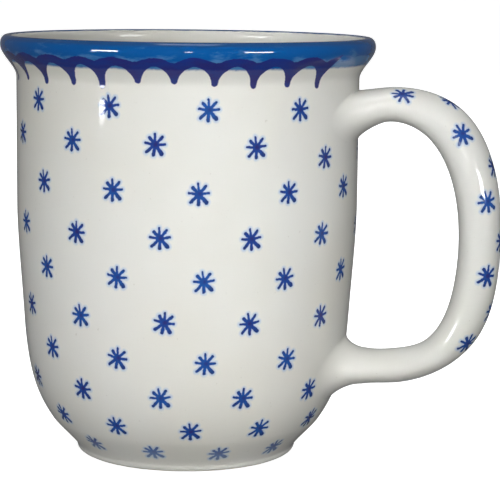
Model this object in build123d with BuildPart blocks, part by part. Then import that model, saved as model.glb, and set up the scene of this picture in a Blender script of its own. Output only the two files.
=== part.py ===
"""Stoneware mug: a turned body with a flared lip, and a looped handle luted on with slip.

Millimetres. The origin is the centre of the foot ring's resting plane, +Z is up, and the handle
points along +X. The body, the handle and the two slip beds between them are separate solids.
"""

import os

from build123d import *

# Body
height = 100.8
lip_radius = 45.0
lip_thickness = 3.2
wall_radius = 41.2
wall_thickness = 4.0
foot_radius = 26.8
foot_edge_radius = 1.2
foot_ring_width = 4.4
foot_recess_depth = 2.2
floor_height = 7.6

# Handle
grip_width = 13.4
slip_thickness = 0.5

lip_crown_radius = lip_thickness / 2
lip_centre_height = height - lip_crown_radius
lip_shoulder_height = height - 2.2
mouth_radius = lip_radius - lip_thickness
wall_inner_radius = wall_radius - wall_thickness

# Curves of the outer wall, each by its four control points (radius, height)
foot_flare = [(foot_radius, foot_edge_radius), (foot_radius, 2.4), (31.6, 6.5), (33.0, 8.6)]
belly = [(33.0, 8.6), (36.5, 13.85), (38.7, 19.2), (39.6, 33.2)]
taper = [(39.6, 33.2), (40.43, 46.1), (wall_radius, 53.2), (wall_radius, 61.7)]
lip_flare = [
    (wall_radius, 90.9),
    (wall_radius, 93.5),
    (lip_radius, 95.9),
    (lip_radius, lip_shoulder_height),
]
lip_round = [
    (lip_radius, lip_shoulder_height),
    (lip_radius, 99.8),
    (lip_radius - 0.7, height),
    (lip_radius - lip_crown_radius, height),
]

# Curves of the inner wall from the centre of the floor to the mouth
bowl_floor = [(0, floor_height), (14.0, floor_height), (24.0, 8.8), (29.2, 13.0)]
bowl_side = [(29.2, 13.0), (33.0, 16.1), (35.2, 22.0), (35.7, 34.0)]
inner_taper = [(35.7, 34.0), (36.2, 46.0), (wall_inner_radius, 53.2), (wall_inner_radius, 61.7)]
mouth_flare = [
    (wall_inner_radius, 89.6),
    (wall_inner_radius, 93.0),
    (mouth_radius, 95.6),
    (mouth_radius, lip_centre_height),
]

# Handle sections from the upper root to the lower one. The first and last lie inside the wall.
# Each is: radius, height, thickness towards the body, width across
handle_sections = [
    (38.5, 82.4, 12.4, 20.0),
    (42.6, 84.0, 9.4, 16.6),
    (48.0, 85.4, 8.1, 14.4),
    (54.2, 85.1, 8.6, grip_width),
    (62.2, 81.3, 10.2, grip_width),
    (68.2, 72.2, 10.5, grip_width),
    (71.0, 58.0, 10.0, grip_width),
    (70.5, 44.4, 9.9, grip_width),
    (66.8, 32.3, 9.3, grip_width),
    (59.8, 25.4, 7.8, grip_width),
    (51.6, 22.9, 8.0, grip_width),
    (43.8, 22.4, 8.5, 14.8),
    (39.2, 22.3, 11.2, 18.0),
    (35.2, 22.2, 14.6, 21.0),
]


def outer_wall(growth):
    """Draw the outer wall from the foot's edge to the lip, moved outwards by growth."""
    for curve in (foot_flare, belly, taper, lip_flare):
        Bezier(*[(radius + growth, level) for radius, level in curve])
    Line((wall_radius + growth, taper[-1][1]), (wall_radius + growth, lip_flare[0][1]))


def make_core(growth):
    """A full solid with the body's outer wall moved outwards by growth."""
    with BuildPart() as core:
        with BuildSketch(Plane.XZ):
            with BuildLine():
                outer_wall(growth)
                Polyline(
                    (lip_radius + growth, lip_shoulder_height),
                    (0, lip_shoulder_height),
                    (0, foot_edge_radius),
                    (foot_radius + growth, foot_edge_radius),
                )
            make_face()
        revolve(axis=Axis.Z)
    return core.part


def section_plane(path, radius, level):
    """The plane across the handle's path at the section centred on radius and level."""
    centre = Vector(radius, 0, level)
    along = path.tangent_at(path.param_at_point(centre))
    return Plane(origin=centre, x_dir=(0, 1, 0), z_dir=along)


# Body: foot ring, belly, wall, flared lip and cavity in one turned shape
with BuildPart() as mug_body:
    with BuildSketch(Plane.XZ):
        with BuildLine():
            outer_wall(0)
            ring_outside = foot_radius - foot_edge_radius
            ring_inside = foot_radius - foot_ring_width
            RadiusArc((foot_radius, foot_edge_radius), (ring_outside, 0), foot_edge_radius)
            Polyline(
                (ring_outside, 0),
                (ring_inside, 0),
                (ring_inside - foot_recess_depth / 2, foot_recess_depth),
                (0, foot_recess_depth),
                (0, floor_height),
            )
            for curve in (bowl_floor, bowl_side, inner_taper, mouth_flare):
                Bezier(*curve)
            Line(inner_taper[-1], mouth_flare[0])
            Bezier(*lip_round)
            JernArc(lip_round[-1], (-1, 0), lip_crown_radius, 90)
        make_face()
    revolve(axis=Axis.Z)
    foot_corners = mug_body.edges().filter_by(GeomType.CIRCLE).group_by(Axis.Z)[0]
    fillet(foot_corners.sort_by(SortBy.RADIUS)[0], foot_edge_radius / 2)
mug_body.part.label = "mug_body"

body_core = make_core(0)
slip_core = make_core(slip_thickness)

# Handle as pulled and bent, with both flared roots still running into the wall
with BuildPart() as handle_blank:
    centres = [(radius, level) for radius, level, thickness, width in handle_sections]
    with BuildLine(Plane.XZ) as centre_line:
        Spline(*centres)
    path = centre_line.edges()[0]
    for radius, level, thickness, width in handle_sections:
        with BuildSketch(section_plane(path, radius, level)):
            Ellipse(width / 2, thickness / 2)
    loft()

# Handle with its roots cut to the curve of the wall, less the slip bed
with BuildPart() as handle:
    add(handle_blank.part)
    add(slip_core, mode=Mode.SUBTRACT)
handle.part.label = "handle"

# Slip beds: what is left of the roots between the body's wall and the cut handle
with BuildPart() as slip_beds:
    add(handle_blank.part)
    add(slip_core, mode=Mode.INTERSECT)
    add(body_core, mode=Mode.SUBTRACT)

with BuildPart() as lower_slip_bed:
    add(slip_beds.solids().sort_by(Axis.Z)[0])
lower_slip_bed.part.label = "lower_slip_bed"

with BuildPart() as upper_slip_bed:
    add(slip_beds.solids().sort_by(Axis.Z)[-1])
upper_slip_bed.part.label = "upper_slip_bed"

os.makedirs("parts", exist_ok=True)
export_step(mug_body.part, "parts/mug_body.step")
export_step(handle.part, "parts/handle.step")
export_step(upper_slip_bed.part, "parts/upper_slip_bed.step")
export_step(lower_slip_bed.part, "parts/lower_slip_bed.step")
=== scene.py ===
"""Looks of the stoneware mug: glazed body, luted handle, cobalt stamps and painted lip.

Shapes are worked out in millimetres, as in the part, and scaled to metres when a mesh is made.
"""

import math
import random

import bpy
import numpy as np
from mathutils import Matrix, Vector
from mathutils.kdtree import KDTree


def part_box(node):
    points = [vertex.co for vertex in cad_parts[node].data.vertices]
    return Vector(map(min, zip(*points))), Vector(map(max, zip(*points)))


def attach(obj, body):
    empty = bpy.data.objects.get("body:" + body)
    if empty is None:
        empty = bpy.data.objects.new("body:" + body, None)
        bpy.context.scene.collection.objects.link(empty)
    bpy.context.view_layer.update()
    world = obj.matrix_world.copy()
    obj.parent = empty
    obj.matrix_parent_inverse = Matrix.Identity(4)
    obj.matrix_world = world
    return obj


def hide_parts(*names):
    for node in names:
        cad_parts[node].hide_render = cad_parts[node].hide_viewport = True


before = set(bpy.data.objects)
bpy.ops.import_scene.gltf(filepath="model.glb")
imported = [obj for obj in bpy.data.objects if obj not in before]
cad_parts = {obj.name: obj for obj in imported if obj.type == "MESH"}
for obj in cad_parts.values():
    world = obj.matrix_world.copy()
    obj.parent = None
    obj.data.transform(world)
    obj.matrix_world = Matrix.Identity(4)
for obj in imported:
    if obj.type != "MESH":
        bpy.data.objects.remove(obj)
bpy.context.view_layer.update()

MM = 0.001
body_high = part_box("mug_body")[1]

# Body, in millimetres
HEIGHT = body_high.z / MM
LIP_RADIUS = 45.0
LIP_CROWN = 1.6
LIP_SHOULDER = 98.6
MOUTH_RADIUS = LIP_RADIUS - 2 * LIP_CROWN
LIP_LEVEL = HEIGHT - LIP_CROWN
WALL_RADIUS = 41.2
INNER_RADIUS = 37.2
FOOT_RADIUS = 26.8
FOOT_EDGE = 1.2
FOOT_RING_INSIDE = 22.4
RECESS = 2.2
FLOOR = 7.6
AROUND = 360
FAR_FROM_LIP = 200

FOOT_FLARE = [(FOOT_RADIUS, FOOT_EDGE), (FOOT_RADIUS, 2.4), (31.6, 6.5), (33.0, 8.6)]
BELLY = [(33.0, 8.6), (36.5, 13.85), (38.7, 19.2), (39.6, 33.2)]
TAPER = [(39.6, 33.2), (40.43, 46.1), (WALL_RADIUS, 53.2), (WALL_RADIUS, 61.7)]
LIP_FLARE = [
    (WALL_RADIUS, 90.9),
    (WALL_RADIUS, 93.5),
    (LIP_RADIUS, 95.9),
    (LIP_RADIUS, LIP_SHOULDER),
]
LIP_ROUND = [
    (LIP_RADIUS, LIP_SHOULDER),
    (LIP_RADIUS, 99.8),
    (LIP_RADIUS - 0.7, HEIGHT),
    (LIP_RADIUS - LIP_CROWN, HEIGHT),
]
BOWL_FLOOR = [(0, FLOOR), (14.0, FLOOR), (24.0, 8.8), (29.2, 13.0)]
BOWL_SIDE = [(29.2, 13.0), (33.0, 16.1), (35.2, 22.0), (35.7, 34.0)]
INNER_TAPER = [(35.7, 34.0), (36.2, 46.0), (INNER_RADIUS, 53.2), (INNER_RADIUS, 61.7)]
MOUTH_FLARE = [
    (INNER_RADIUS, 89.6),
    (INNER_RADIUS, 93.0),
    (MOUTH_RADIUS, 95.6),
    (MOUTH_RADIUS, LIP_LEVEL),
]

# Handle sections: radius, height, thickness towards the body, width across. The first and last
# lie behind the wall's face, and ARM_FIRST and ARM_LAST are where the arm starts to flare at each
# root. The seventh is 0.02 thinner than in the part, which keeps the arm inside the CAD box.
GRIP_WIDTH = 13.4
HANDLE_SECTIONS = [
    (38.5, 82.4, 12.4, 20.0),
    (42.6, 84.0, 9.4, 16.6),
    (48.0, 85.4, 8.1, 14.4),
    (54.2, 85.1, 8.6, GRIP_WIDTH),
    (62.2, 81.3, 10.2, GRIP_WIDTH),
    (68.2, 72.2, 10.5, GRIP_WIDTH),
    (71.0, 58.0, 9.98, GRIP_WIDTH),
    (70.5, 44.4, 9.9, GRIP_WIDTH),
    (66.8, 32.3, 9.3, GRIP_WIDTH),
    (59.8, 25.4, 7.8, GRIP_WIDTH),
    (51.6, 22.9, 8.0, GRIP_WIDTH),
    (43.8, 22.4, 8.5, 14.8),
    (39.2, 22.3, 11.2, 18.0),
    (35.2, 22.2, 14.6, 21.0),
]
ARM_FIRST = 2
ARM_LAST = 11
ARM_AROUND = 96
ARM_STEPS = 150
ROOT_STEPS = 20

# Handle roots: the level of the foot's middle, how far the foot spreads up the wall on the loop's
# outer side and down it on the inner side, and how far it spreads to each side. The lower root
# is the other way up. ROOT_SINK is how deep the foot's edge lies in the wall, and ROOT_DEPTH how
# deep the closed end does.
UPPER_ROOT = (82.4, 6.2, 6.1, 16.5)
LOWER_ROOT = (21.6, -7.6, -7.9, 16.0)
ROOT_SINK = 0.004
ROOT_DEPTH = 1.2

# Stamped stars: the level of each row, the angle of its star nearest the front, and the gap
# in degrees between its front stars. The stars behind are spread over what is left of the row.
STAR_ROWS = [
    (5.3, -91.0, 30.0),
    (12.0, -74.5, 28.2),
    (20.0, -85.5, 29.3),
    (28.7, -69.5, 29.6),
    (37.6, -84.0, 29.5),
    (47.7, -71.0, 28.8),
    (57.2, -85.0, 28.8),
    (67.5, -71.5, 28.8),
    (78.0, -85.0, 30.0),
    (86.0, -69.5, 31.5),
]
STARS_PER_ROW = 12
FRONT_STARS = 5
ROW_LEAN = 0.7
STAMP_REACH = 4.4
NO_STAMP = 100.0

# Rows that leave out their stars at and near the handle's roots, and the row that dips below the
# upper root: how many degrees from the handle each does so, and how far the row dips
ROOT_ROWS = (2, 3, 4, 9)
ROOT_ROWS_REACH = 22
DIPPING_ROW = 8
DIPPING_ROW_REACH = 34
ROW_DIP = 3

# The stamp itself: the tip of each stroke from the centre, and the stroke's half width there
STAMP_STROKES = [
    (-0.15, 2.4, 0.24),
    (1.55, 1.8, 0.33),
    (2.2, 0.22, 0.28),
    (1.6, -1.85, 0.5),
    (-0.18, -2.25, 0.4),
    (-1.9, -1.8, 0.34),
    (-2.2, 0.3, 0.27),
    (-1.3, 1.5, 0.4),
]
STROKE_START = 0.36
STAMP_HEART = 1.0

# Stars on the handle: millimetres along its centre line, and degrees round from its outside.
# Those on the flank are repeated on the far flank.
OUTER_STARS = [(23.0, 8), (38.0, 10), (54.0, 10), (70.0, 8), (90.5, 6)]
FLANK_STARS = [(14.2, 46), (29.4, 64), (45.0, 57), (62.0, 55), (77.5, 42)]

# Painted lip: the band's lower edge, the arches and how far they drop to a drip, the garland's
# upper edge, and a drip's half width and how fast it widens upwards
BAND_LEVEL = 94.8
ARCH_LEVEL = 95.5
ARCH_DROP = 4.0
GARLAND_TOP = 96.35
DRIP_HALF_WIDTH = 0.66
DRIP_WIDENING = 0.12

# Drips: the angle of the first from the handle, how far the garland goes on beside it, and how
# far short of it the paint has gone and begins to go. Then the gaps between the drips in degrees
# and the level of their tips, from the handle's front side towards the back. The tips that
# aren't listed are all near one level.
FIRST_DRIP = 31.0
END_REACH = 6
FADE_END = 8.5
FADE_START = 1.5
DRIPS = 26
BACK_TIP = 90.7
FRONT_GAPS = [12.5, 12.0, 12.4, 12.4, 11.3, 12.0, 10.9, 12.8, 12.3]
FRONT_TIPS = [90.1, 90.6, 90.5, 91.0, 91.5, 91.5, 90.1, 90.6, 90.4, 90.8]

# Lights: angles are in degrees, distances and sizes in metres, and the places they are aimed at
# in millimetres.
# Pools of soft light: azimuth, elevation, cone, power, the level that each is aimed at, and how
# far beside the mug's axis
POOLS = [
    ("key_high", -12, 1, 7.2, 59.0, 96.0, -8.0),
    ("key_low", -12, 1, 7.2, 57.0, 38.0, -7.0),
    ("handle_key", 4, 20, 5.0, 146.0, 56.0, 80.0),
]
POOL_DISTANCE = 1.0
POOL_SOFTNESS = 0.1

# Wide panels that the glaze doesn't mirror: azimuth, elevation, power
FILLS = [
    ("front_fill", 0, 40, 2.2),
    ("right_fill", 80, 25, 0.2),
    ("back_fill", 180, 45, 8.0),
]
FILL_DISTANCE = 1.2
FILL_SIZE = 0.8
FILL_AIM = 60.0

# Small panels that only the glaze mirrors: azimuth, elevation, distance, width, height, power,
# and the level that each is aimed at
HIGHLIGHTS = [
    ("left_window", -49, 2.6, 0.8, 0.22, 0.1, 2.8, 99.0),
    ("front_window", 0, 2.6, 0.8, 0.06, 0.1, 0.33, 99.0),
    ("right_window", 41, 2.6, 0.8, 0.24, 0.1, 2.2, 99.0),
    ("overhead", 0, 84, 0.8, 0.3, 0.3, 0.9, 99.0),
    ("glint", -53.5, -4.2, 0.3, 0.018, 0.008, 0.009, 87.0),
]

# The surround: what the clay takes in from below and from above, and what the glaze mirrors
GLOW_BELOW = (0.1, 0.1, 0.097, 1)
GLOW_ABOVE = (0.15, 0.15, 0.15, 1)
MIRRORED = (0.13, 0.13, 0.135, 1)
WHITE = (1, 1, 1, 1)

# Where the camera stands
CAMERA_DISTANCE = 458.1
CAMERA_HEIGHT = 117.35
CAMERA_AZIMUTH = 14.0
CAMERA_YAW = 1.92
CAMERA_DIP = 8.51
CAMERA_ROLL = 0.647
LENS = 136.5

SEED = 7


# ---------------------------------------------------------------- curves


def bezier(points, steps):
    """Points along a cubic curve, both ends included."""
    t = np.linspace(0, 1, steps + 1)[:, None]
    a, b, c, d = (np.array(point, float) for point in points)
    return (1 - t) ** 3 * a + 3 * (1 - t) ** 2 * t * b + 3 * (1 - t) * t**2 * c + t**3 * d


def line(start, end, steps):
    """Points along a straight line, both ends included."""
    t = np.linspace(0, 1, steps + 1)[:, None]
    return (1 - t) * np.array(start, float) + t * np.array(end, float)


def arc(centre, radius, start, end, steps):
    """Points along an arc between two angles in degrees."""
    angle = np.radians(np.linspace(start, end, steps + 1))
    return np.array(centre, float) + radius * np.stack([np.cos(angle), np.sin(angle)], 1)


def joined(*runs):
    """Runs of points joined end to end, without their repeated ends."""
    return np.concatenate([runs[0]] + [run[1:] for run in runs[1:]])


def travelled(points):
    """Distance from the first point to each point."""
    steps = np.linalg.norm(np.diff(points, axis=0), axis=1)
    return np.concatenate([[0], np.cumsum(steps)])


def smooth_curve(knots, values, at):
    """A natural cubic spline through values at knots, read at the given places."""
    knots, values, at = np.array(knots, float), np.array(values, float), np.array(at, float)
    gap = np.diff(knots)
    slope = np.diff(values, axis=0) / gap[:, None]
    count = len(knots)
    system = np.eye(count)
    right = np.zeros_like(values)
    for i in range(1, count - 1):
        system[i, i - 1 : i + 2] = gap[i - 1], 2 * (gap[i - 1] + gap[i]), gap[i]
        right[i] = 6 * (slope[i] - slope[i - 1])
    bend = np.linalg.solve(system, right)
    i = np.clip(np.searchsorted(knots, at, side="right") - 1, 0, count - 2)
    before, after, width = (at - knots[i])[:, None], (knots[i + 1] - at)[:, None], gap[i][:, None]
    return (
        (bend[i] * after**3 + bend[i + 1] * before**3) / (6 * width)
        + (values[i] / width - bend[i] * width / 6) * after
        + (values[i + 1] / width - bend[i + 1] * width / 6) * before
    )


def smoothstep(low, high, value):
    """0 below low and 1 above high, with a smooth step between."""
    t = np.clip((value - low) / (high - low), 0, 1)
    return t * t * (3 - 2 * t)


# ---------------------------------------------------------------- meshes


def skin(name, first_pole, rings, last_pole):
    """A closed mesh over rings of points, with a fan at each end. Points are in millimetres."""
    count, around = rings.shape[:2]
    points = np.concatenate([[first_pole], rings.reshape(-1, 3), [last_pole]]) * MM
    ring = [[1 + i * around + j for j in range(around)] for i in range(count)]
    faces = []
    for j in range(around):
        k = (j + 1) % around
        faces.append((0, ring[0][k], ring[0][j]))
        faces.append((len(points) - 1, ring[-1][j], ring[-1][k]))
        for i in range(count - 1):
            faces.append((ring[i][j], ring[i][k], ring[i + 1][k], ring[i + 1][j]))
    mesh = bpy.data.meshes.new(name)
    mesh.from_pydata(points.tolist(), [], faces)
    mesh.update()
    mesh.shade_smooth()
    piece = bpy.data.objects.new(name, mesh)
    bpy.context.scene.collection.objects.link(piece)
    return piece


def point_values(mesh, name, values):
    """Store one number for each point of the mesh."""
    layer = mesh.attributes.new(name, "FLOAT", "POINT")
    layer.data.foreach_set("value", np.asarray(values, np.float32))


def corner_values(mesh, name, vectors):
    """Store three numbers for each face corner of the mesh."""
    layer = mesh.attributes.new(name, "FLOAT_VECTOR", "CORNER")
    layer.data.foreach_set("vector", np.asarray(vectors, np.float32).ravel())


def mesh_arrays(mesh):
    """Point places, face centres and normals in millimetres, and each corner's point and face."""
    points = np.zeros(len(mesh.vertices) * 3)
    mesh.vertices.foreach_get("co", points)
    centres = np.zeros(len(mesh.polygons) * 3)
    mesh.polygons.foreach_get("center", centres)
    normals = np.zeros(len(mesh.polygons) * 3)
    mesh.polygons.foreach_get("normal", normals)
    corners = np.zeros(len(mesh.polygons), int)
    mesh.polygons.foreach_get("loop_total", corners)
    corner_point = np.zeros(len(mesh.loops), int)
    mesh.loops.foreach_get("vertex_index", corner_point)
    corner_face = np.repeat(np.arange(len(corners)), corners)
    return (
        points.reshape(-1, 3) / MM,
        centres.reshape(-1, 3) / MM,
        normals.reshape(-1, 3),
        corner_point,
        corner_face,
    )


# ---------------------------------------------------------------- body

outer_wall = joined(
    bezier(FOOT_FLARE, 28),
    bezier(BELLY, 40),
    bezier(TAPER, 40),
    line(TAPER[-1], LIP_FLARE[0], 36),
    bezier(LIP_FLARE, 30),
)


def out_of_round(angle, level):
    """How far the hand-turned wall falls short of the true circle. None beside the handle."""
    short = 0.07 * (1 - np.cos(2 * angle)) + 0.04 * (1 - np.cos(3 * angle))
    return short * smoothstep(10, 40, level)


def wall_radius_at(level, angle=0.0):
    """Radius of the outer wall at a height and an angle."""
    return float(np.interp(level, outer_wall[:, 1], outer_wall[:, 0]) - out_of_round(angle, level))


def wall_point(angle, level):
    """A point on the outer wall, its outward normal and the way up along the wall."""
    radius = wall_radius_at(level, angle)
    slope = (wall_radius_at(level + 0.2, angle) - wall_radius_at(level - 0.2, angle)) / 0.4
    out = Vector((math.cos(angle), math.sin(angle), 0))
    up = (out * slope + Vector((0, 0, 1))).normalized()
    normal = (out - Vector((0, 0, slope))).normalized()
    return out * radius + Vector((0, 0, level)), normal, up


def body_profile():
    """The body's outline from the centre of the underside, up the outside and down inside."""
    ring_edge = 0.5
    underside = joined(
        line((0.6, RECESS), (FOOT_RING_INSIDE - 1.7, RECESS), 14),
        bezier(
            [
                (FOOT_RING_INSIDE - 1.7, RECESS),
                (FOOT_RING_INSIDE - 1.0, RECESS),
                (FOOT_RING_INSIDE - 0.4, 1.4),
                (FOOT_RING_INSIDE, ring_edge),
            ],
            8,
        ),
        arc((FOOT_RING_INSIDE + ring_edge, ring_edge), ring_edge, 180, 270, 5),
        line((FOOT_RING_INSIDE + ring_edge, 0), (FOOT_RADIUS - FOOT_EDGE, 0), 6),
        arc((FOOT_RADIUS - FOOT_EDGE, FOOT_EDGE), FOOT_EDGE, -90, 0, 8),
    )
    lip = joined(
        bezier(LIP_ROUND, 14),
        arc((LIP_RADIUS - LIP_CROWN, LIP_LEVEL), LIP_CROWN, 90, 180, 12),
    )
    inside = joined(
        bezier(MOUTH_FLARE[::-1], 24),
        line(MOUTH_FLARE[0], INNER_TAPER[-1], 20),
        bezier(INNER_TAPER[::-1], 22),
        bezier(BOWL_SIDE[::-1], 24),
        bezier(BOWL_FLOOR[::-1], 24)[:-1],
    )
    return joined(underside, outer_wall, lip, inside)


def make_body():
    """The turned body.

    Each point knows how far it lies past the top of the lip, and how far the painted garland
    has faded out beside the handle."""
    profile = body_profile()
    angles = np.arange(AROUND) * 2 * math.pi / AROUND
    radius = profile[:, :1] - out_of_round(angles[None, :], profile[:, 1:])
    rings = np.stack(
        [
            radius * np.cos(angles),
            radius * np.sin(angles),
            np.repeat(profile[:, 1:], AROUND, axis=1),
        ],
        axis=2,
    )
    piece = skin("glazed_body", (0, 0, RECESS), rings, (0, 0, FLOOR))
    run = travelled(profile)
    past_lip = np.repeat(run - run[np.argmax(profile[:, 1])], AROUND)
    point_values(
        piece.data, "past_lip", np.concatenate([[-FAR_FROM_LIP], past_lip, [FAR_FROM_LIP]])
    )
    turn = (np.tile(angles, len(profile)) + math.pi) % (2 * math.pi) - math.pi
    from_handle = np.degrees(np.abs(turn))
    fading = 1 - smoothstep(FIRST_DRIP - FADE_END, FIRST_DRIP - FADE_START, from_handle)
    point_values(piece.data, "fading", np.concatenate([[1], fading, [1]]))
    return piece


# ---------------------------------------------------------------- handle


def handle_path():
    """The arm's centre line with its thickness, width and direction, from root to root."""
    sections = np.array(HANDLE_SECTIONS)
    knots = travelled(sections[:, :2])
    at = np.linspace(knots[ARM_FIRST], knots[ARM_LAST], ARM_STEPS)
    values = smooth_curve(knots, sections, at)
    ahead = smooth_curve(knots, sections, at + 0.05)[:, :2]
    behind = smooth_curve(knots, sections, at - 0.05)[:, :2]
    along = ahead - behind
    along /= np.linalg.norm(along, axis=1)[:, None]
    return values, along, at


def section_ring(values, along):
    """The oval of points around one place on the arm. Its first point is the outermost."""
    turn = np.arange(ARM_AROUND) * 2 * math.pi / ARM_AROUND
    radius, level, thickness, width = values
    outwards = np.array([-along[1], 0, along[0]])
    across = np.array([0, -1, 0])
    return (
        np.array([radius, 0, level])
        + np.cos(turn)[:, None] * outwards * thickness / 2
        + np.sin(turn)[:, None] * across * width / 2
    )


def root_rings(ring, towards_wall, centre, reach_out, reach_in, reach_side):
    """Rings that sweep from the arm's oval to a wide foot on the wall, tangent to both."""
    turn = np.arange(ARM_AROUND) * 2 * math.pi / ARM_AROUND
    rings = np.zeros((ROOT_STEPS + 1, ARM_AROUND, 3))
    for j, start in enumerate(ring):
        spread = reach_out if math.cos(turn[j]) > 0 else reach_in
        level = centre + spread * math.cos(turn[j])
        angle = -reach_side * math.sin(turn[j]) / wall_radius_at(level)
        foot, normal, up = wall_point(angle, level)
        foot = np.array(foot - normal * ROOT_SINK)
        distance = np.linalg.norm(foot - start)
        inwards = start + towards_wall * distance - foot
        inwards -= np.array(normal) * (inwards @ np.array(normal))
        arm_pull = distance * (0.3 + 0.08 * math.cos(turn[j]))
        wall_pull = 0.46 + 0.3 * abs(math.sin(turn[j]))
        curve = [start, start + towards_wall * arm_pull, foot + inwards * wall_pull, foot]
        rings[:, j] = bezier(curve, ROOT_STEPS)
    return rings


def make_handle():
    """The handle: an oval arm whose two ends flare smoothly onto the wall."""
    values, along, at = handle_path()
    arm = np.array([section_ring(v, a) for v, a in zip(values, along)])
    to_wall = np.array([-along[0][0], 0, -along[0][1]])
    upper = root_rings(arm[0], to_wall, *UPPER_ROOT)
    to_wall = np.array([along[-1][0], 0, along[-1][1]])
    lower = root_rings(arm[-1], to_wall, *LOWER_ROOT)
    rings = np.concatenate([upper[::-1], arm[1:-1], lower])
    buried = [hidden_ring(upper[-1]), hidden_ring(lower[-1])]
    rings = np.concatenate([[buried[0]], rings, [buried[1]]])
    piece = skin("handle_loop", buried[0].mean(0), rings, buried[1].mean(0))
    crisp_rings(piece.data, (1, len(rings) - 2))
    return piece


def hidden_ring(ring):
    """A slightly smaller ring inside the wall, which closes the handle's end out of sight."""
    flat = ring * np.array([1, 1, 0])
    radius = np.linalg.norm(flat, axis=1)[:, None]
    return ring - flat / radius * ROOT_DEPTH


def crisp_rings(mesh, rings):
    """Mark the edges along some rings as sharp, so that hidden faces don't shade the rest."""
    marked = set()
    for i in rings:
        marked.update(range(1 + i * ARM_AROUND, 1 + (i + 1) * ARM_AROUND))
    for edge in mesh.edges:
        if edge.vertices[0] in marked and edge.vertices[1] in marked:
            edge.use_edge_sharp = True


# ---------------------------------------------------------------- stamps


def row_angles(nearest, gap):
    """Angles of a row's stars: those at the front by the row's own gap, the rest shared out."""
    to_side = FRONT_STARS // 2
    wide = (360 - 2 * to_side * gap) / (STARS_PER_ROW - 2 * to_side)
    front = [nearest + gap * i for i in range(-to_side, to_side + 1)]
    return front + [front[-1] + wide * (i + 1) for i in range(STARS_PER_ROW - FRONT_STARS)]


def body_stars(dice):
    """Places of the stars on the body. None is stamped where the handle's roots are."""
    stars = []
    for row, (level, nearest, gap) in enumerate(STAR_ROWS):
        for angle in row_angles(nearest, gap):
            angle = (angle + 180) % 360 - 180
            if row in ROOT_ROWS and abs(angle) < ROOT_ROWS_REACH:
                continue
            dips = row == DIPPING_ROW and abs(angle) < DIPPING_ROW_REACH
            lowered = ROW_DIP if dips else 0
            lean = ROW_LEAN * math.sin(math.radians(angle + 90 - CAMERA_AZIMUTH))
            turn = math.radians(angle + dice.gauss(0, 0.5))
            place, normal, up = wall_point(turn, level - lowered - lean + dice.gauss(0, 0.15))
            stars.append((place, normal, up, dice.random()))
    return stars


def handle_stars(dice):
    """Places of the stars on the handle: down the outside and, between them, down each flank."""
    values, along, at = handle_path()
    stars = []
    mirrored = [(where, -turn) for where, turn in FLANK_STARS]
    for where, turn in OUTER_STARS + FLANK_STARS + mirrored:
        k = int(np.argmin(np.abs(at - where)))
        radius, level, thickness, width = values[k]
        angle = math.radians(turn)
        outwards = Vector((-along[k][1], 0, along[k][0]))
        across = Vector((0, -1, 0))
        place = (
            Vector((radius, 0, level))
            + outwards * math.cos(angle) * thickness / 2
            + across * math.sin(angle) * width / 2
        )
        normal = outwards * math.cos(angle) / thickness + across * math.sin(angle) / width
        up = -Vector((along[k][0], 0, along[k][1]))
        stars.append((place, normal.normalized(), up, dice.random()))
    return stars


def lay_stamps(piece, stars):
    """Give each face near a star its place from the star's centre, and the star's number."""
    points, centres, normals, corner_point, corner_face = mesh_arrays(piece.data)
    tree = KDTree(len(stars))
    for i, star in enumerate(stars):
        tree.insert(star[0], i)
    tree.balance()
    owner = np.full(len(centres), -1)
    for f, centre in enumerate(centres):
        i, distance = tree.find(centre)[1:]
        if distance < STAMP_REACH and Vector(normals[f]).dot(stars[i][1]) > 0.1:
            owner[f] = i
    stamp = np.full((len(corner_face), 3), NO_STAMP)
    for i, (place, normal, up, number) in enumerate(stars):
        mine = np.nonzero(owner[corner_face] == i)[0]
        side = np.array(up.cross(normal))
        away = points[corner_point[mine]] - np.array(place)
        flat = np.stack([away @ side, away @ np.array(up)], 1)
        length = np.maximum(np.linalg.norm(flat, axis=1), 1e-6)
        flat *= (np.linalg.norm(away, axis=1) / length)[:, None]
        stamp[mine] = np.concatenate([flat, np.full((len(mine), 1), number)], axis=1)
    corner_values(piece.data, "stamp", stamp)


def drip_places(dice):
    """Angle and tip level of each painted drip, from one side of the handle to the other."""
    front = [360 - FIRST_DRIP]
    for gap in FRONT_GAPS:
        front.append(front[-1] - gap)
    rest = DRIPS - len(front)
    gap = (front[-1] - FIRST_DRIP) / rest
    behind = [FIRST_DRIP] + [FIRST_DRIP + gap * i + dice.gauss(0, 0.4) for i in range(1, rest)]
    tips = [BACK_TIP + dice.gauss(0, 0.45) for _ in behind]
    return behind + front[::-1], tips + FRONT_TIPS[::-1]


def lay_garland(piece, dice):
    """Give each face near the lip its place in the painted garland.

    The three numbers are millimetres to the side of the nearest drip, the share of the way from
    the drip to the middle of the arch, and the level of the drip's tip."""
    points, centres, _, corner_point, corner_face = mesh_arrays(piece.data)
    drips, tips = drip_places(dice)
    edges = [(a + b) / 2 for a, b in zip(drips, drips[1:])]
    edges = [drips[0] - END_REACH] + edges + [drips[-1] + END_REACH]
    angle = np.degrees(np.arctan2(centres[:, 1], centres[:, 0])) % 360
    owner = np.clip(np.searchsorted(edges, angle) - 1, 0, DRIPS - 1)[corner_face]
    at = np.degrees(np.arctan2(points[:, 1], points[:, 0]))[corner_point] % 360
    middle = np.array(drips)[owner]
    low, high = np.array(edges)[owner], np.array(edges)[owner + 1]
    offset = (at - middle + 180) % 360 - 180
    half = np.where(offset < 0, middle - low, high - middle)
    side = np.radians(offset) * WALL_RADIUS
    share = np.abs(offset) / half
    corner_values(piece.data, "garland", np.stack([side, share, np.array(tips)[owner]], 1))


# ---------------------------------------------------------------- materials


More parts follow.
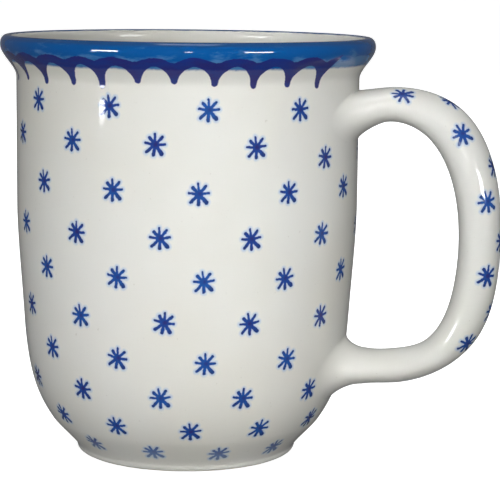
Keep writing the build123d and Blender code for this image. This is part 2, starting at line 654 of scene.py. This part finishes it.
class Wire:
    """A number in a node tree, written in formulas as if it were the number itself."""

    def __init__(self, tree, socket):
        self.tree = tree
        self.socket = socket

    def math(self, operation, *others):
        node = self.tree.nodes.new("ShaderNodeMath")
        node.operation = operation
        for i, value in enumerate((self,) + others):
            plug(self.tree, value, node.inputs[i])
        return Wire(self.tree, node.outputs[0])

    def __add__(self, other):
        return self.math("ADD", other)

    def __sub__(self, other):
        return self.math("SUBTRACT", other)

    def __mul__(self, other):
        return self.math("MULTIPLY", other)

    def __neg__(self):
        return self.math("MULTIPLY", -1.0)

    def rises(self, low, high):
        """0 below low and 1 above high, with a smooth step between."""
        node = self.tree.nodes.new("ShaderNodeMapRange")
        node.interpolation_type = "SMOOTHSTEP"
        for name, value in (("Value", self), ("From Min", low), ("From Max", high)):
            plug(self.tree, value, node.inputs[name])
        return Wire(self.tree, node.outputs["Result"])

    def falls(self, low, high):
        """1 below low and 0 above high, with a smooth step between."""
        return -self.rises(low, high) + 1.0


def plug(tree, value, socket):
    """Feed a socket from a wire, another socket or a plain value."""
    if isinstance(value, Wire):
        tree.links.new(value.socket, socket)
    elif isinstance(value, bpy.types.NodeSocket):
        tree.links.new(value, socket)
    else:
        socket.default_value = value


def split(tree, socket):
    """The three numbers of a vector."""
    node = tree.nodes.new("ShaderNodeSeparateXYZ")
    tree.links.new(socket, node.inputs[0])
    return [Wire(tree, output) for output in node.outputs]


def attribute(tree, name):
    """The node that reads values stored on the mesh."""
    node = tree.nodes.new("ShaderNodeAttribute")
    node.attribute_name = name
    return node


def noise(tree, place, scale, detail=2.0, roughness=0.5):
    """Soft random clouds from 0 to 1."""
    node = tree.nodes.new("ShaderNodeTexNoise")
    plug(tree, place, node.inputs["Vector"])
    plug(tree, scale, node.inputs["Scale"])
    plug(tree, detail, node.inputs["Detail"])
    plug(tree, roughness, node.inputs["Roughness"])
    return Wire(tree, node.outputs[0])


def measure(tree, operation, first, second):
    """The distance between two vectors, or their dot product."""
    node = tree.nodes.new("ShaderNodeVectorMath")
    node.operation = operation
    plug(tree, first, node.inputs[0])
    plug(tree, second, node.inputs[1])
    return Wire(tree, node.outputs["Value"])


def chance(tree, *numbers):
    """A repeatable random number from 0 to 1 for each set of numbers."""
    joint = tree.nodes.new("ShaderNodeCombineXYZ")
    for i, number in enumerate(numbers):
        plug(tree, number, joint.inputs[i])
    node = tree.nodes.new("ShaderNodeTexWhiteNoise")
    node.noise_dimensions = "3D"
    tree.links.new(joint.outputs[0], node.inputs["Vector"])
    return Wire(tree, node.outputs["Value"])


def mix(tree, share, first, second):
    """A colour between first and second."""
    node = tree.nodes.new("ShaderNodeMix")
    node.data_type = "RGBA"
    plug(tree, share, node.inputs[0])
    plug(tree, first, node.inputs[6])
    plug(tree, second, node.inputs[7])
    return node.outputs[2]


def colour(red, green, blue):
    """A linear colour from the usual 0 to 255 values."""
    def linear(value):
        value /= 255
        return value / 12.92 if value <= 0.04045 else ((value + 0.055) / 1.055) ** 2.4

    return (linear(red), linear(green), linear(blue), 1.0)


def star_ink(tree, place):
    """How much ink a stamped star leaves at a place, its pale bleed, and its own number."""
    side, up, number = split(tree, attribute(tree, "stamp").outputs["Vector"])
    tilt = (number - 0.5) * 0.3
    spot = tree.nodes.new("ShaderNodeCombineXYZ")
    plug(tree, side * tilt.math("COSINE") - up * tilt.math("SINE"), spot.inputs[0])
    plug(tree, side * tilt.math("SINE") + up * tilt.math("COSINE"), spot.inputs[1])
    spot = spot.outputs[0]
    from_heart = measure(tree, "DISTANCE", spot, (0.2, 0.1, 0.0))
    edge = measure(tree, "DISTANCE", spot, (0.0, 0.0, 0.0)) - STAMP_HEART
    for x, y, half_width in STAMP_STROKES:
        length = math.hypot(x, y)
        direction = (x / length, y / length, 0.0)
        reach = measure(tree, "DOT_PRODUCT", spot, direction)
        reach = reach.math("MAXIMUM", 0.0).math("MINIMUM", length)
        nearest = tree.nodes.new("ShaderNodeVectorMath")
        nearest.operation = "SCALE"
        nearest.inputs[0].default_value = direction
        plug(tree, reach, nearest.inputs["Scale"])
        away = measure(tree, "DISTANCE", spot, nearest.outputs[0])
        width = reach * ((half_width - STROKE_START) / length) + STROKE_START
        edge = edge.math("SMOOTH_MIN", away - width, 0.16)
    edge = edge + (noise(tree, place, 1500.0, 2.0) - 0.5) * 0.4
    return edge.falls(-0.08, 0.1), edge.falls(-0.1, 0.75), number, from_heart


def lip_paint(tree, level, place):
    """Where the blue band and the dark garland lie round the lip."""
    side, share, tip = split(tree, attribute(tree, "garland").outputs["Vector"])
    fading = Wire(tree, attribute(tree, "fading").outputs["Fac"])
    past_lip = Wire(tree, attribute(tree, "past_lip").outputs["Fac"])
    waver = noise(tree, place, 260.0, 2.0) - 0.5
    fine = (noise(tree, place, 1500.0, 2.0) - 0.5) * 0.3
    ends = (past_lip + waver * 0.5).falls(0.75, 1.15)
    band = (level + waver * 0.5 + fine).rises(BAND_LEVEL - 0.4, BAND_LEVEL + 0.3) * ends

    toward_drip = -share.math("MINIMUM", 1.0) + 1.0
    arch = -(toward_drip * toward_drip * ARCH_DROP) + ARCH_LEVEL + waver * 0.6 + fading * 2.6
    below_tip = (tip + 0.7 - level).math("MAXIMUM", 0.0)
    stalk = (side * side + below_tip * below_tip).math("SQRT")
    stalk = stalk - (level - tip).math("MAXIMUM", 0.0) * DRIP_WIDENING - DRIP_HALF_WIDTH
    lower_edge = stalk.math("SMOOTH_MIN", arch - level, 1.1)
    over_drip = share.math("MULTIPLY", math.pi / 2).math("SINE")
    upper_edge = level - (over_drip * 1.1 + GARLAND_TOP + waver * 1.0 + fading * 0.3)
    edge = lower_edge.math("MAXIMUM", upper_edge) + fine
    garland = edge.falls(-0.14, 0.12) * fading.falls(0.8, 0.95) * ends
    return band, garland


def glaze_bump(tree, place, bare):
    """The faint ripple of a glossy glaze, and the grain of bare clay at the foot."""
    ripple = noise(tree, place, 90.0, 3.0) * 0.8 + noise(tree, place, 420.0, 2.0) * 0.08
    grain = noise(tree, place, 2600.0, 4.0, 0.7) * bare
    node = tree.nodes.new("ShaderNodeBump")
    node.inputs["Strength"].default_value = 0.25
    node.inputs["Distance"].default_value = 0.0004
    plug(tree, ripple + grain, node.inputs["Height"])
    return node.outputs[0]


def glazed_clay(name, painted_lip):
    """Clear glaze over off-white stoneware with cobalt decoration under it."""
    material = bpy.data.materials.new(name)
    material.use_nodes = True
    tree = material.node_tree
    shader = tree.nodes["Principled BSDF"]
    place = tree.nodes.new("ShaderNodeTexCoord").outputs["Object"]
    level = split(tree, place)[2] * 1000.0

    clouds = noise(tree, place, 22.0, 3.0)
    warm = mix(tree, clouds.rises(0.3, 0.75), colour(232, 232, 227), colour(227, 225, 216))
    specks = noise(tree, place, 1300.0, 1.0).rises(0.74, 0.82) * 0.2
    clay = mix(tree, specks, warm, colour(150, 138, 122))

    ink, bleed, number, from_heart = star_ink(tree, place)
    strength = chance(tree, number * 57.0, 5.0, 9.0)
    cobalt = mix(tree, strength, colour(18, 82, 168), colour(20, 52, 142))
    patchy = noise(tree, place, 800.0, 2.0).rises(0.4, 0.6)
    cobalt = mix(tree, patchy * 0.35, cobalt, colour(18, 40, 120))
    cobalt = mix(tree, from_heart.rises(1.3, 2.5) * 0.6, cobalt, colour(26, 44, 98))
    pooled = (from_heart + patchy * 0.3).falls(0.2, 1.0) * (strength * 0.5 + 0.45)
    cobalt = mix(tree, pooled, cobalt, colour(34, 24, 100))
    tinted = mix(tree, bleed * 0.55, clay, colour(128, 176, 224))
    near_foot = level.rises(3.0, 10.0) * 0.35 + 0.62
    surface = mix(tree, ink * near_foot, tinted, cobalt)

    bare = level.falls(0.1, 0.4)
    if painted_lip:
        surface = paint_lip(tree, surface, level, place)
    surface = mix(tree, bare, surface, colour(205, 192, 170))
    plug(tree, surface, shader.inputs["Base Color"])
    plug(tree, bare * 0.7 + 0.03 + noise(tree, place, 60.0) * 0.03, shader.inputs["Roughness"])
    shader.inputs["IOR"].default_value = 1.5
    plug(tree, glaze_bump(tree, place, bare), shader.inputs["Normal"])
    return material


def paint_lip(tree, surface, level, place):
    """The blue band brushed on the lip and the indigo garland over its lower edge."""
    band, garland = lip_paint(tree, level, place)
    streaks = tree.nodes.new("ShaderNodeMapping")
    tree.links.new(place, streaks.inputs["Vector"])
    streaks.inputs["Scale"].default_value = (1.0, 1.0, 4.0)
    brushed = noise(tree, streaks.outputs[0], 110.0, 4.0, 0.65)
    deep = (brushed - 0.5) * 4.0 + level.rises(95.6, 98.6)
    blue = mix(tree, deep.rises(0.0, 0.8), colour(64, 118, 174), colour(0, 84, 156))
    blue = mix(tree, level.rises(99.5, 100.3) * 0.7, blue, colour(36, 74, 122))
    surface = mix(tree, band, surface, blue)
    indigo = mix(tree, brushed.rises(0.35, 0.65), colour(34, 34, 108), colour(24, 46, 124))
    return mix(tree, garland * 0.97, surface, indigo)


def fired_slip(name):
    """Matt fired slip with a fine sandy grain."""
    material = bpy.data.materials.new(name)
    material.use_nodes = True
    tree = material.node_tree
    shader = tree.nodes["Principled BSDF"]
    place = tree.nodes.new("ShaderNodeTexCoord").outputs["Object"]
    grain = noise(tree, place, 1400.0, 4.0, 0.65)
    clay = mix(tree, grain.rises(0.3, 0.7), colour(196, 186, 166), colour(220, 212, 196))
    plug(tree, clay, shader.inputs["Base Color"])
    plug(tree, grain * 0.2 + 0.65, shader.inputs["Roughness"])
    bump = tree.nodes.new("ShaderNodeBump")
    bump.inputs["Strength"].default_value = 0.4
    bump.inputs["Distance"].default_value = 0.0002
    plug(tree, grain, bump.inputs["Height"])
    plug(tree, bump.outputs[0], shader.inputs["Normal"])
    return material


def plain_floor(name):
    """An even, pale, matt surface, lit from within like a light table."""
    material = bpy.data.materials.new(name)
    material.use_nodes = True
    tree = material.node_tree
    shader = tree.nodes["Principled BSDF"]
    place = tree.nodes.new("ShaderNodeTexCoord").outputs["Object"]
    tone = mix(tree, noise(tree, place, 4.0), colour(188, 188, 188), colour(184, 184, 184))
    plug(tree, tone, shader.inputs["Base Color"])
    shader.inputs["Roughness"].default_value = 0.95
    shader.inputs["Specular IOR Level"].default_value = 0.0
    shader.inputs["Emission Color"].default_value = WHITE
    shader.inputs["Emission Strength"].default_value = 0.94
    return material


# ---------------------------------------------------------------- stage


def make_floor():
    """A wide round floor under the foot ring. It neither lights the mug nor shows in its glaze."""
    bpy.ops.mesh.primitive_circle_add(vertices=96, radius=8.0, fill_type="NGON")
    floor = bpy.context.object
    floor.name = "floor"
    floor.data.materials.append(plain_floor("floor_paint"))
    floor.visible_diffuse = False
    floor.visible_glossy = False


def place_light(name, data, azimuth, elevation, distance, aim, beside=0.0):
    """Put a light on its arc round the mug, facing a level and a place beside the mug's axis.

    Azimuth 0 is the camera's side, and positive is to the camera's right."""
    light = bpy.data.objects.new(name, data)
    bpy.context.scene.collection.objects.link(light)
    side = math.radians(CAMERA_AZIMUTH + azimuth)
    rise = math.radians(elevation)
    away = Vector(
        (math.sin(side) * math.cos(rise), -math.cos(side) * math.cos(rise), math.sin(rise))
    )
    light.location = Vector((beside * MM, 0, aim * MM)) + away * distance
    light.rotation_euler = away.to_track_quat("Z", "Y").to_euler()
    light.visible_camera = False
    return light


def panel(name, azimuth, elevation, distance, width, height, power, aim):
    """A rectangular light panel."""
    data = bpy.data.lights.new(name, "AREA")
    data.shape = "RECTANGLE"
    data.size = width
    data.size_y = height
    data.energy = power
    return place_light(name, data, azimuth, elevation, distance, aim)


def light_scene():
    """Soft studio light: pools on the body and handle, fills, and panels for the highlights."""
    for name, azimuth, elevation, cone, power, aim, beside in POOLS:
        pool = bpy.data.lights.new(name, "SPOT")
        pool.spot_size = math.radians(cone)
        pool.spot_blend = 1.0
        pool.shadow_soft_size = POOL_SOFTNESS
        pool.energy = power
        light = place_light(name, pool, azimuth, elevation, POOL_DISTANCE, aim, beside)
        light.visible_glossy = False
    for name, azimuth, elevation, power in FILLS:
        fill = panel(
            name, azimuth, elevation, FILL_DISTANCE, FILL_SIZE, FILL_SIZE, power, FILL_AIM
        )
        fill.visible_glossy = False
    for name, azimuth, elevation, distance, width, height, power, aim in HIGHLIGHTS:
        highlight = panel(name, azimuth, elevation, distance, width, height, power, aim)
        highlight.visible_diffuse = False


def make_surround():
    """A plain studio all round, grey to the mug and white to the camera."""
    world = bpy.data.worlds.new("surround")
    bpy.context.scene.world = world
    world.use_nodes = True
    tree = world.node_tree
    background = tree.nodes["Background"]
    rays = tree.nodes.new("ShaderNodeLightPath")
    height = split(tree, tree.nodes.new("ShaderNodeTexCoord").outputs["Generated"])[2]
    glow = mix(tree, height.rises(-0.7, 0.5), GLOW_BELOW, GLOW_ABOVE)
    shade = mix(tree, rays.outputs["Is Diffuse Ray"], MIRRORED, glow)
    shade = mix(tree, rays.outputs["Is Camera Ray"], shade, WHITE)
    plug(tree, shade, background.inputs["Color"])
    background.inputs["Strength"].default_value = 1.0


def make_camera():
    """A long-lens camera a little above the lip, turned so that the handle is at the right."""
    data = bpy.data.cameras.new("camera")
    data.sensor_width = 36
    data.lens = LENS
    data.clip_start = 0.02
    data.clip_end = 20
    camera = bpy.data.objects.new("camera", data)
    bpy.context.scene.collection.objects.link(camera)
    side = math.radians(CAMERA_AZIMUTH)
    camera.location = (
        math.sin(side) * CAMERA_DISTANCE * MM,
        -math.cos(side) * CAMERA_DISTANCE * MM,
        CAMERA_HEIGHT * MM,
    )
    heading = math.radians(CAMERA_YAW - CAMERA_AZIMUTH)
    dip = math.radians(CAMERA_DIP)
    roll = math.radians(CAMERA_ROLL)
    forward = Vector(
        (math.sin(heading) * math.cos(dip), math.cos(heading) * math.cos(dip), -math.sin(dip))
    )
    right = Vector((math.cos(heading), -math.sin(heading), 0))
    up = right.cross(forward)
    tilted_right = right * math.cos(roll) + up * math.sin(roll)
    tilted_up = up * math.cos(roll) - right * math.sin(roll)
    camera.rotation_euler = Matrix((tilted_right, tilted_up, -forward)).transposed().to_euler()
    bpy.context.scene.camera = camera


# ---------------------------------------------------------------- assembly

make_camera()
make_floor()
light_scene()
make_surround()
bpy.context.scene.view_settings.view_transform = "Standard"
bpy.context.scene.view_settings.look = "None"

dice = random.Random(SEED)
stars = body_stars(dice) + handle_stars(dice)

body = make_body()
lay_stamps(body, stars)
lay_garland(body, dice)
body.data.materials.append(glazed_clay("glazed_body", painted_lip=True))

handle = make_handle()
lay_stamps(handle, stars)
handle.data.materials.append(glazed_clay("glazed_handle", painted_lip=False))

slip = fired_slip("fired_slip")
for node in ("upper_slip_bed", "lower_slip_bed"):
    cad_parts[node].data.materials.clear()
    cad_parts[node].data.materials.append(slip)

for piece, node, slot in (
    (body, "mug_body", "glazed_body"),
    (handle, "handle", "glazed_handle"),
):
    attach(piece, "root")
    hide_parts(node)
